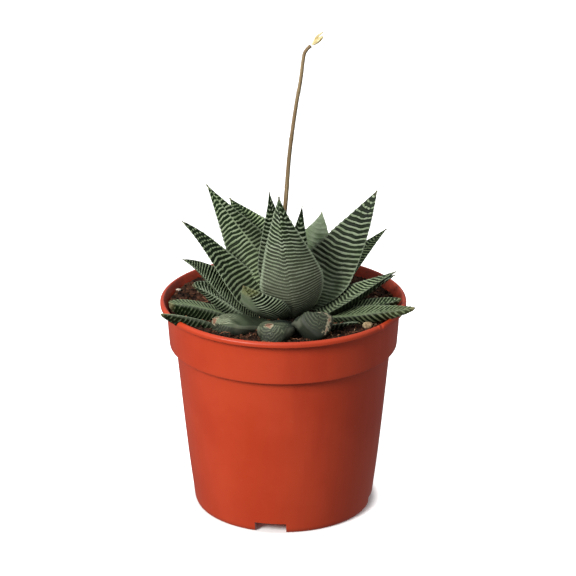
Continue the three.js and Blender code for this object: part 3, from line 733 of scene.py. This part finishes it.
def make_crumbs(material):
    """Crumbs of peat, bark and a few pale mineral grains, fused in one piece on the soil."""
    ball, ball_faces = round_lump(1)
    parts, shade = [], []
    for _ in range(CRUMBS):
        x, y = scatter_place(48)
        size = random.uniform(0.28, 0.75) * (1.5 if random.random() < 0.12 else 1)
        stretch = random.uniform(0.55, 1.35, 3)
        turn = random.uniform(0, 2 * pi)
        lump = ball * (1 + random.uniform(-0.22, 0.22, (len(ball), 1))) * stretch * size
        c, s = cos(turn), sin(turn)
        lump = lump @ np.array([[c, s, 0], [-s, c, 0], [0, 0, 1]])
        parts.append((lump + [x, y, height_at(x, y) + 0.2 * size], ball_faces))
        # Crumbs beneath the leaves are darker: painted shade.
        tone = random.random() ** 1.6 * (0.25 + 0.75 * float(openness(x, y)))
        shade.append(np.full(len(ball), 1.6 if random.random() < 0.035 else tone))
    points, faces = fuse(parts)
    crumbs = make_piece("soil_crumbs", points, faces, material, smooth=False, shade=np.concatenate(shade))
    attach(crumbs, "root")


def make_fibres(material):
    """Root and coir fibres lying on the soil: thin bent tubes fused in one piece."""
    columns, rows = 4, 9
    ring = np.linspace(0, 2 * pi, columns, endpoint=False)[None, :, None]
    parts, shade = [], []
    for _ in range(FIBRES):
        x, y = scatter_place(45)
        heading = random.uniform(0, 2 * pi)
        curl = random.uniform(-0.35, 0.35)
        length = random.uniform(2.5, 9)
        thick = random.uniform(0.09, 0.2)
        lift = random.uniform(0.1, 0.9)
        centres = []
        for k in range(rows):
            centres.append((x, y, height_at(x, y) + thick + lift * sin(pi * k / (rows - 1))))
            if hypot(x, y) < 46.5:
                x += cos(heading) * length / rows
                y += sin(heading) * length / rows
            heading += curl
        centres = np.array(centres)
        along = unit(np.gradient(centres, axis=0) + 1e-6)
        side = unit(np.cross(along, [0.0, 0.0, 1.0]) + 1e-6)
        over = np.cross(side, along)
        taper = thick * np.sin(np.linspace(0.35, pi - 0.35, rows))[:, None, None]
        parts.append(closed_rings(centres[:, None] + taper * (np.cos(ring) * side[:, None]
                                                              + np.sin(ring) * over[:, None])))
        shade.append(np.full(len(parts[-1][0]), random.uniform(0.3, 1.0)))
    points, faces = fuse(parts)
    fibres = make_piece("soil_fibres", points, faces, material, shade=np.concatenate(shade))
    recalculate(fibres)
    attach(fibres, "root")


def make_stone(name, node, material, seed, roughness):
    """A pebble or chip with the size and place of its CAD node."""
    low, high = (np.array(corner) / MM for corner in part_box(node))
    ball, faces = round_lump(4)
    dents = roughness * layered_noise(ball[:, 0] * 1.7 + ball[:, 2], ball[:, 1] * 1.7 - ball[:, 2], seed, 4)
    lump = ball * (0.93 + dents)[:, None]
    lump = STONE_SCALE * lump * (high - low) / 2 + (high + low) / 2
    stone = make_piece(name, lump, faces, material)
    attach(stone, "root")
    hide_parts(node)


# ---- stalk and flower
def make_stalk(material):
    """The dry stalk, with faint ribs and a low ring at each node."""
    rows, columns = 260, 20

    def radius(share, angle):
        plain = mix(*STALK_RADIUS, share)
        nodes = 0.1 * np.exp(-((np.mod(share * 5.3 + 0.2, 1) - 0.5) / 0.035) ** 2)
        ribs = 0.03 * np.cos(5 * angle + 2 * share) + 0.03 * value_noise(share * 90, angle, 41)
        return plain + nodes + ribs - 0.03

    points, faces = closed_rings(tube_rings(STALK_ROUTE, radius, rows, columns))
    share = np.linspace(0, 1, rows)[:, None] + np.zeros((1, columns))
    stalk = make_piece("stalk_stem", points, faces, material, along=ring_values(share))
    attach(stalk, "root")
    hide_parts("flower_stalk")


def make_flower(material):
    """The withered flower and the bract beside it."""
    def capsule(share, angle):
        body = 0.34 + 0.62 * np.sin(pi * share) ** 0.8
        folds = 1 + 0.16 * np.cos(6 * angle + 3 * share) + 0.06 * value_noise(share * 12, angle * 2, 51)
        return body * folds

    def bract(share, angle):
        blade = 0.26 + 0.26 * np.sin(pi * share)
        return blade * (0.45 + 0.55 * np.abs(np.cos(angle)))

    points, faces = fuse([closed_rings(tube_rings(FLOWER_ROUTE, capsule, 60, 24)),
                          closed_rings(tube_rings(BRACT_ROUTE, bract, 40, 16))])
    flower = make_piece("flower_remains", points, faces, material)
    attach(flower, "root")
    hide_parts("dry_flower")


# ---- materials
def shown(red, green, blue):
    """The linear colour that shaders take, from a colour as it looks on screen, 0 to 255."""
    def linear(value):
        value = value / 255
        return value / 12.92 if value <= 0.04045 else ((value + 0.055) / 1.055) ** 2.4
    return (linear(red), linear(green), linear(blue), 1.0)


class Nodes:
    """A node tree under construction. Sockets pass from call to call. Colours are as shown on screen."""

    def __init__(self, tree):
        self.tree = tree

    def node(self, kind, **settings):
        made = self.tree.nodes.new(kind)
        for key, value in settings.items():
            setattr(made, key, value)
        return made

    def feed(self, socket, value):
        if hasattr(value, "is_output"):
            self.tree.links.new(value, socket)
        else:
            socket.default_value = shown(*value) if isinstance(value, tuple) else value

    def attribute(self, name):
        return self.node("ShaderNodeAttribute", attribute_name=name).outputs["Fac"]

    def attributes(self, *names):
        return [self.attribute(name) for name in names]

    def place(self):
        return self.node("ShaderNodeTexCoord").outputs["Object"]

    def noise(self, scale, detail=3.0, rough=0.55, stretch=None):
        """Noise fixed to the object, `scale` features to a metre."""
        made = self.node("ShaderNodeTexNoise")
        source = self.place()
        if stretch is not None:
            mapping = self.node("ShaderNodeMapping")
            mapping.inputs["Scale"].default_value = stretch
            self.feed(mapping.inputs["Vector"], source)
            source = mapping.outputs["Vector"]
        self.feed(made.inputs["Vector"], source)
        made.inputs["Scale"].default_value = scale
        made.inputs["Detail"].default_value = detail
        made.inputs["Roughness"].default_value = rough
        return made.outputs["Fac"]

    def ramp(self, value, low, high, bottom=0.0, top=1.0, kind="SMOOTHSTEP"):
        """A rise from bottom to top while value goes from low to high."""
        made = self.node("ShaderNodeMapRange", interpolation_type=kind)
        self.feed(made.inputs["Value"], value)
        for key, number in (("From Min", low), ("From Max", high), ("To Min", bottom), ("To Max", top)):
            made.inputs[key].default_value = number
        return made.outputs["Result"]

    def math(self, operation, a, b=0.0):
        made = self.node("ShaderNodeMath", operation=operation)
        self.feed(made.inputs[0], a)
        self.feed(made.inputs[1], b)
        return made.outputs[0]

    def blend(self, a, b, share):
        made = self.node("ShaderNodeMix", data_type="RGBA")
        self.feed(made.inputs[0], share)
        self.feed(made.inputs[6], a)
        self.feed(made.inputs[7], b)
        return made.outputs[2]


class Shader(Nodes):
    """A material with one shader."""

    def __init__(self, name, roughness, specular):
        self.material = bpy.data.materials.new(name)
        self.material.use_nodes = True
        super().__init__(self.material.node_tree)
        self.shader = self.tree.nodes["Principled BSDF"]
        self.shader.inputs["Roughness"].default_value = roughness
        self.shader.inputs["Specular IOR Level"].default_value = specular

    def colour(self, value):
        self.feed(self.shader.inputs["Base Color"], value)

    def roughness(self, value):
        self.feed(self.shader.inputs["Roughness"], value)

    def bump(self, height, strength, distance_mm):
        made = self.node("ShaderNodeBump")
        self.feed(made.inputs["Height"], height)
        made.inputs["Strength"].default_value = strength
        made.inputs["Distance"].default_value = distance_mm * MM
        self.feed(self.shader.inputs["Normal"], made.outputs["Normal"])


def leaf_material():
    """Dark green in the gaps and pale on the ridges, then greyed, freshened, shaded and dried by place."""
    s = Shader("haworthia_skin", 0.62, 0.08)
    ridge, margin, along, fade, pale, tone, dry, fresh = s.attributes(
        "ridge", "margin", "along", "fade", "pale", "tone", "dry", "fresh")
    mottle, speck = s.noise(260, 3), s.noise(1400, 2)
    deep = s.blend((13, 25, 8), (24, 38, 15), s.ramp(mottle, 0.35, 0.65))
    deep = s.blend(deep, (18, 30, 17), tone)
    gap = s.blend(deep, (74, 78, 63), fade)
    line = s.blend((156, 168, 142), (132, 148, 116), s.ramp(mottle, 0.3, 0.7))
    line = s.blend(line, (90, 94, 78), fade)
    line = s.blend(line, (184, 192, 172), s.ramp(speck, 0.55, 0.75, 0.0, 0.4))
    gap = s.blend(gap, (26, 44, 14), fresh)
    line = s.blend(line, (146, 166, 118), fresh)
    skin = s.blend(gap, line, s.ramp(ridge, 0.2, 0.8))
    skin = s.blend(skin, (140, 152, 128), s.math("MULTIPLY", margin, 0.75))
    # Paleness: the leaf's own colour, and at some feet painted light.
    skin = s.blend(skin, s.blend((136, 150, 124), (112, 128, 98), s.ramp(mottle, 0.35, 0.65)), pale)
    # Darker at the foot: soil dust and painted shade.
    skin = s.blend(skin, (44, 48, 38), s.ramp(along, 0.0, 0.22, 0.6, 0.0))
    # Painted shade: darker low down near the soil.
    skin = s.blend(skin, (12, 18, 11), s.math("MULTIPLY", s.attribute("painted_low_shade"), 0.62))
    # Painted shade: darkened towards black where the light value is below 1.
    skin = s.blend((8, 12, 7), skin, s.attribute("light"))
    wilted = s.math("MULTIPLY", s.ramp(along, 0.72, 0.88, 0.0, 0.6), s.ramp(dry, 0.7, 1.0))
    skin = s.blend(skin, s.blend((84, 92, 44), (170, 176, 124), s.ramp(speck, 0.35, 0.6)), wilted)
    tip = s.math("MULTIPLY", s.ramp(along, 0.95, 1.0), s.math("ADD", dry, 0.15))
    skin = s.blend(skin, s.blend((96, 92, 66), (150, 142, 104), s.ramp(speck, 0.4, 0.6)), tip)
    s.colour(skin)
    s.roughness(s.ramp(ridge, 0.2, 0.8, 0.5, 0.65))
    s.bump(s.noise(2600, 2), 0.25, 0.06)
    return s.material


def stub_material():
    """Dull grey-green with paler ridges, and a healed scar: brown in the middle, pale round it."""
    s = Shader("cut_leaf_skin", 0.6, 0.3)
    ridge, margin, along, scar, pale = s.attributes("ridge", "margin", "along", "scar", "pale")
    mottle, fine = s.noise(320, 5, 0.65), s.noise(900, 4)
    base = s.blend((28, 36, 32), (48, 56, 47), s.ramp(mottle, 0.35, 0.65))
    base = s.blend(base, (58, 65, 47), s.ramp(along, 0.5, 0.95, 0.0, 0.7))
    base = s.blend(base, (86, 98, 72), s.math("MULTIPLY", pale, 0.6))
    crest = s.blend((114, 122, 95), (186, 192, 160), pale)
    base = s.blend(base, crest, s.ramp(ridge, 0.25, 0.8, 0.0, 0.55))
    base = s.blend(base, (150, 154, 132), s.math("MULTIPLY", margin, 0.45))
    # Painted shade: darker low down near the soil.
    base = s.blend(base, (16, 21, 17), s.math("MULTIPLY", s.attribute("painted_low_shade"), 0.7))
    # Painted shade: darkened towards black where the light value is below 1.
    base = s.blend((8, 12, 7), base, s.attribute("light"))
    hurt = s.math("ADD", scar, s.ramp(along, 0.95, 0.99, 0.0, 0.12))
    hurt = s.math("ADD", hurt, s.ramp(fine, 0.35, 0.65, -0.25, 0.25))
    base = s.blend(base, (152, 144, 120), s.ramp(hurt, 0.4, 0.62, 0.0, 0.85))
    brown = s.blend((134, 100, 80), (88, 60, 46), s.ramp(mottle, 0.4, 0.6))
    base = s.blend(base, brown, s.ramp(hurt, 0.72, 0.86))
    s.colour(base)
    s.bump(fine, 0.35, 0.12)
    return s.material


def pot_material():
    """Red-orange plastic with faint clouds, streaks and dust, and a darker inner wall: soil smear and painted
    shade.
    """
    s = Shader("moulded_terracotta_plastic", 0.42, 0.3)
    cloud, grain = s.noise(28, 4), s.noise(3800, 2)
    streak = s.noise(60, 4, stretch=(1.0, 1.0, 0.12))
    colour = s.blend((173, 55, 26), (181, 62, 33), s.ramp(cloud, 0.35, 0.65))
    colour = s.blend(colour, (166, 50, 24), s.ramp(streak, 0.5, 0.75, 0.0, 0.6))
    dust = s.ramp(s.noise(420, 5, 0.7), 0.6, 0.78, 0.0, 0.14)
    colour = s.blend(colour, (186, 108, 80), dust)
    # The inner wall is darker: soil smear and painted shade.
    smear_and_shade = s.math("MULTIPLY", s.attribute("grime_and_shade"), s.ramp(s.noise(160, 5, 0.7), 0.3, 0.65, 0.1, 0.6))
    colour = s.blend(colour, (104, 42, 29), smear_and_shade)
    s.colour(colour)
    s.roughness(s.ramp(streak, 0.3, 0.7, 0.36, 0.5))
    s.bump(s.math("ADD", s.math("MULTIPLY", grain, 0.35), cloud), 0.22, 0.12)
    return s.material


def soil_material():
    """Dark peat, browner where it has dried by the pot's wall, and darkened with painted shade beneath the
    leaves.
    """
    s = Shader("peat", 0.95, 0.15)
    damp = s.attribute("damp")
    fine, coarse = s.noise(900, 6, 0.7), s.noise(240, 4)
    colour = s.blend((19, 12, 9), (66, 40, 27), s.ramp(fine, 0.38, 0.7))
    colour = s.blend(colour, (50, 29, 21), s.ramp(coarse, 0.4, 0.7))
    colour = s.blend(colour, (94, 61, 43), s.math("MULTIPLY", s.ramp(damp, 0.5, 0.9), 0.4))
    # Painted shade: darker beneath the leaves.
    s.colour(s.blend((17, 11, 9), colour, s.ramp(s.attribute("open"), 0.0, 1.0, 0.25, 1.0)))
    s.bump(fine, 0.9, 0.5)
    return s.material


def crumb_material(name, dark, light, pale):
    """Loose bits from dark to light by their shade, and pale above 1.2."""
    s = Shader(name, 0.92, 0.15)
    shade = s.attribute("shade")
    colour = s.blend(dark, light, s.ramp(shade, 0.0, 1.0))
    colour = s.blend(colour, pale, s.ramp(shade, 1.2, 1.4))
    fleck = s.noise(1600, 4)
    s.colour(s.blend(colour, dark, s.ramp(fleck, 0.5, 0.75, 0.0, 0.6)))
    s.bump(fleck, 0.6, 0.15)
    return s.material


def stalk_material():
    s = Shader("dry_stalk", 0.65, 0.3)
    fibre = s.noise(700, 4, stretch=(1.0, 1.0, 0.05))
    blotch = s.noise(130, 3, stretch=(1.0, 1.0, 0.4))
    colour = s.blend((104, 86, 60), (158, 138, 104), s.ramp(fibre, 0.35, 0.65))
    colour = s.blend(colour, (120, 98, 70), s.ramp(blotch, 0.45, 0.7))
    s.colour(colour)
    s.bump(fibre, 0.5, 0.1)
    return s.material


def grained_material(name, roughness, specular, dark, light, grain, band, bump):
    """Two colours mixed over a band of a noise, and a bump of the same noise."""
    s = Shader(name, roughness, specular)
    pattern = s.noise(**grain)
    s.colour(s.blend(dark, light, s.ramp(pattern, *band)))
    s.bump(pattern, *bump)
    return s.material


def stone_material(name, dark, light, scale):
    return grained_material(name, 0.85, 0.25, dark, light, dict(scale=scale, detail=5, rough=0.65),
                            (0.38, 0.62), (0.5, 0.15))


# ---- stage: camera, lights, floor
CAMERA_TARGET = (2.0, 0.0, 96.7)
CAMERA_ELEVATION = 20.9
CAMERA_DISTANCE = 1.1  # metres
CAMERA_LENS = 161.7
LIGHT_AIM = (0, 0, 0.09)


def stand(name, data, place, target):
    """Puts a camera or a light in its place, aimed at a target."""
    holder = bpy.data.objects.new(name, data)
    holder.location = place
    holder.rotation_euler = (Vector(target) - Vector(place)).to_track_quat("-Z", "Y").to_euler()
    scene.collection.objects.link(holder)
    return holder


def set_camera():
    """A long lens from the front, looking down a little."""
    target = Vector([length * MM for length in CAMERA_TARGET])
    elevation = radians(CAMERA_ELEVATION)
    place = target + CAMERA_DISTANCE * Vector((0, -cos(elevation), sin(elevation)))
    camera = bpy.data.cameras.new("camera")
    camera.sensor_width = 36
    camera.lens = CAMERA_LENS
    scene.camera = stand("camera", camera, place, target)


def add_area_light(name, place, size, power, colour=(1, 1, 1)):
    light = bpy.data.lights.new(name, "AREA")
    light.shape = "DISK"
    light.size = size
    light.energy = power
    light.color = colour
    stand(name, light, place, LIGHT_AIM)


def set_stage():
    """Two lights, a white floor that only takes the pot's shadow and lights nothing, its glow fading beneath
    the pot as painted shade, and a sky brighter above.
    """
    add_area_light("key_left", (-0.66, -0.75, 0.70), 0.5, 17.5, (1.0, 0.985, 0.96))
    add_area_light("top_soft", (-0.1, 0.15, 1.15), 0.8, 1.5)

    floor = Shader("studio_floor", 0.9, 0.1)
    floor.colour((250, 250, 250))
    # The floor glows evenly but not beneath the pot's foot: painted shade under the pot.
    spread = floor.node("ShaderNodeVectorMath", operation="LENGTH")
    floor.feed(spread.inputs[0], floor.place())
    floor.shader.inputs["Emission Color"].default_value = (1, 1, 1, 1)
    floor.feed(floor.shader.inputs["Emission Strength"],
               floor.ramp(spread.outputs["Value"], FOOT_RADIUS * MM, (FOOT_RADIUS + 5) * MM, 0.0, 0.8))
    corners = [(-4000, -4000, 0), (4000, -4000, 0), (4000, 6000, 0), (-4000, 6000, 0)]
    ground = make_piece("floor", corners, [(0, 1, 2, 3)], floor.material, smooth=False)
    ground.visible_diffuse = False
    ground.visible_glossy = False

    world = bpy.data.worlds.new("studio")
    world.use_nodes = True
    sky = Nodes(world.node_tree)
    background = sky.tree.nodes["Background"]
    background.inputs["Color"].default_value = (0.97, 0.985, 1, 1)
    parts = sky.node("ShaderNodeSeparateXYZ")
    sky.feed(parts.inputs["Vector"], sky.node("ShaderNodeTexCoord").outputs["Generated"])
    sky.feed(background.inputs["Strength"], sky.ramp(parts.outputs["Z"], -0.3, 0.3, 0.24, 0.58, "LINEAR"))
    scene.world = world
    scene.view_settings.view_transform = "Standard"


# ---- the scene
def build():
    """Sets the stage and replaces every node but the crown, which only gets its colour."""
    set_camera()
    set_stage()
    skin, cut_skin = leaf_material(), stub_material()
    for number, row in enumerate(LEAVES):
        make_leaf(row, 7 * number + 1, cut_skin if row["cut"] else skin)
    make_pot(pot_material())
    make_soil(soil_material())
    make_crumbs(crumb_material("crumbs", (24, 16, 11), (90, 58, 40), (176, 152, 122)))
    make_fibres(crumb_material("fibres", (70, 44, 32), (150, 104, 78), (190, 160, 128)))
    tan = stone_material("tan_stone", (128, 106, 78), (190, 170, 132), 500)
    make_stone("tan_pebble", "pebble", tan, 3, 0.07)
    chalk = stone_material("chalky_stone", (150, 140, 124), (220, 212, 198), 900)
    make_stone("perlite_chip", "white_chip", chalk, 5, 0.12)
    make_stalk(stalk_material())
    petals = grained_material("dry_petals", 0.8, 0.2, (196, 176, 120), (232, 220, 176),
                              dict(scale=1100, detail=4, stretch=(1.0, 1.0, 0.3)), (0.35, 0.65), (0.5, 0.1))
    make_flower(petals)
    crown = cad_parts["crown"]
    crown.data.materials.clear()
    stem = grained_material("crown_stem", 0.7, 0.3, (86, 88, 60), (140, 146, 108),
                            dict(scale=500, detail=4), (0.35, 0.65), (0.4, 0.2))
    crown.data.materials.append(stem)


build()
